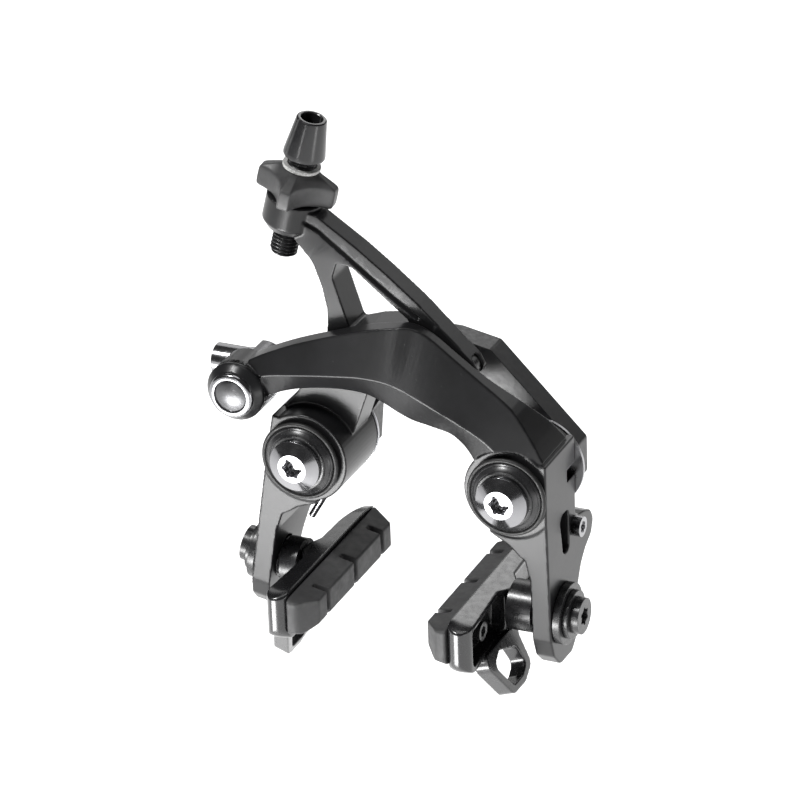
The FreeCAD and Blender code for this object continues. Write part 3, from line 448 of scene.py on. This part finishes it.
def star_knob():
    """The four-lobed knob: hollow sides, blunt lobes, and a top that rises to the ring."""
    place = axis_frame(ADJUSTER_SEAT, ADJUSTER_AXIS)
    turn = Matrix.Rotation(KNOB_TURNED, 4, "Z")
    around, bore = 240, 3.53
    low, high, shoulder = -8.15, -0.16, -2.5
    outline = [knob_reach(2 * math.pi * step / around) for step in range(around)]
    rows = []
    for share, height in ((0, low), (0.80, low), (0.93, low + 0.10), (0.975, low + 0.4), (1.0, low + 1.0),
                          (1.0, shoulder - 1.3), (0.985, shoulder - 0.75), (0.95, shoulder - 0.3),
                          (0.90, shoulder), (0.72, shoulder + 0.62), (0.5, shoulder + 1.25),
                          (0.25, high - 0.35), (0.12, high - 0.05), (0, high)):
        rows.append([(bore + share * (edge - bore), height) for edge in outline])
    points = []
    for row in rows:
        for step, (radius, height) in enumerate(row):
            points.append(on_circle(place @ turn, radius, height, 2 * math.pi * step / around))
    obj = round_object("star_knob_fine", points, ring_faces(len(rows), around), 50)
    fine = obj.modifiers.new("fine", "SUBSURF")
    fine.levels = fine.render_levels = 1
    return obj


give(star_knob(), "star_knob")


# ---------------------------------------------------------------- pads
PAD_FACE = {"left": -19.2, "right": 10.4}
PAD_SIGN = {"left": -1, "right": 1}
PAD_FRONT = -44.8


def blunt(points, front, reach, pivot, least):
    """Draw the height of a bar's front end together towards a pivot height, in a round curve."""
    share = np.clip((front + reach - points[:, 1]) / reach, 0, 1)
    keep = least + (1 - least) * np.sqrt(np.clip(1 - share ** 2.4, 0, 1))
    bar = points[:, 2] > -44.6
    points[:, 2] = np.where(bar, pivot + (points[:, 2] - pivot) * keep, points[:, 2])


def shape_holder(side):
    """The holder: a top that falls away outwards and arches up at the rear, and a round nose."""
    def shape(points):
        out = (points[:, 0] - PAD_FACE[side]) * PAD_SIGN[side] - 7.0
        top = np.clip((points[:, 2] + 33.0) / 3.0, 0, 1)
        points[:, 2] -= top * 0.17 * np.clip(out, 0, 8)
        rear = np.clip((points[:, 1] - 1.0) / 9.0, 0, 1)
        points[:, 2] -= top * 1.4 * rear ** 2
        blunt(points, PAD_FRONT, 5.5, -34.5, 0.62)
        nose = np.clip((PAD_FRONT + 4.5 - points[:, 1]) / 4.5, 0, 1)
        points[:, 1] += nose * 2.0 * ((out - 3.4) / 3.6) ** 2
    return shape


def shape_rubber(points):
    """The rubber's round nose."""
    blunt(points, PAD_FRONT + 0.6, 5.0, -35.5, 0.7)


for side in ("left", "right"):
    worked(side + "_pad_holder", 0.22, 8, shape_holder(side), 0.5)
    worked(side + "_brake_pad", 0.22, 5, shape_rubber, 0.4)
    for part in ("_pad_bolt", "_ball_washer", "_outer_washer", "_head_washer", "_seat_washer", "_pad_screw"):
        eased(side + part, 0.2, 2)


# ---------------------------------------------------------------- floor, light and camera
FLOOR_DEPTH = 0.22
FLOOR_REACH = 8


def floor_material():
    material = bpy.data.materials.new("pale_floor")
    material.use_nodes = True
    tree = material.node_tree
    shader = tree.nodes["Principled BSDF"]
    coords = tree.nodes.new("ShaderNodeTexCoord").outputs["Object"]
    shade = mix(tree, ramp(tree, noise(tree, coords, 3.0), 0.0, 1.0), (0.88, 0.88, 0.88), (0.90, 0.90, 0.90))
    tree.links.new(shade, shader.inputs["Base Color"])
    shader.inputs["Roughness"].default_value = 0.9
    shader.inputs["Specular IOR Level"].default_value = 0.1
    shader.inputs["Emission Color"].default_value = (1, 1, 1, 1)
    shader.inputs["Emission Strength"].default_value = 1.0
    return material


floor_mesh = bpy.data.meshes.new("floor")
floor_corners = [(x * FLOOR_REACH, y * FLOOR_REACH, -FLOOR_DEPTH)
                 for x, y in ((-1, -1), (1, -1), (1, 1), (-1, 1))]
floor_mesh.from_pydata(floor_corners, [], [(0, 1, 2, 3)])
floor_mesh.materials.append(floor_material())
new_object("floor", floor_mesh)

world = bpy.data.worlds.new("studio")
bpy.context.scene.world = world
world.use_nodes = True
world.node_tree.nodes["Background"].inputs["Color"].default_value = (0.06, 0.06, 0.06, 1)
world.node_tree.nodes["Background"].inputs["Strength"].default_value = 1.0


def soft_light(name, spot, aim, width, height, power):
    light = bpy.data.lights.new(name, "AREA")
    light.shape = "RECTANGLE"
    light.size, light.size_y = width, height
    light.energy = power
    obj = bpy.data.objects.new(name, light)
    obj.location = spot
    obj.rotation_euler = (Vector(aim) - Vector(spot)).to_track_quat("-Z", "Y").to_euler()
    obj.visible_camera = False
    bpy.context.scene.collection.objects.link(obj)


soft_light("overhead", (0.0, 0.0, 1.2), (0.0, 0.0, 0), 0.6, 0.6, 2.0)
soft_light("front_low", (-0.115, -0.275, -0.155), (0, -0.03, -0.02), 0.17, 0.10, 0.95)
soft_light("edge_top", (-0.34, -0.40, 0.73), (0, 0, 0.0), 0.16, 0.16, 5.0)
soft_light("edge_right", (0.62, -0.29, -0.17), (0, 0, 0.0), 0.12, 0.20, 0.3)
soft_light("strip", (-0.18, -0.76, 0.03), (0, 0, 0.02), 0.03, 0.26, 0.28)
soft_light("rear_top", (-0.45, 0.97, 0.53), (0, 0, 0.0), 0.8, 0.8, 1.9)
soft_light("rear_right", (0.38, 0.98, 0.58), (0, 0, 0.0), 0.5, 0.5, 0.9)
soft_light("pad_top", (-0.18, 0.73, 0.50), (0.02, -0.02, -0.03), 0.2, 0.2, 0.3)

CAMERA_SPOT = (0.3942, -0.8760, 0.4836)
CAMERA_AHEAD = (-0.378, 0.813, -0.443)
CAMERA_UP = (-0.154, 0.416, 0.896)

camera = bpy.data.cameras.new("camera")
camera.sensor_width = 36.0
camera.lens = 190.96
camera.clip_start, camera.clip_end = 0.05, 50.0
camera_object = bpy.data.objects.new("camera", camera)
ahead = Vector(CAMERA_AHEAD).normalized()
right = ahead.cross(Vector(CAMERA_UP)).normalized()
up = right.cross(ahead).normalized()
pose = Matrix((right, up, -ahead)).transposed().to_4x4()
pose.translation = Vector(CAMERA_SPOT)
camera_object.matrix_world = pose
bpy.context.scene.collection.objects.link(camera_object)
bpy.context.scene.camera = camera_object
bpy.context.scene.view_settings.view_transform = "Standard"
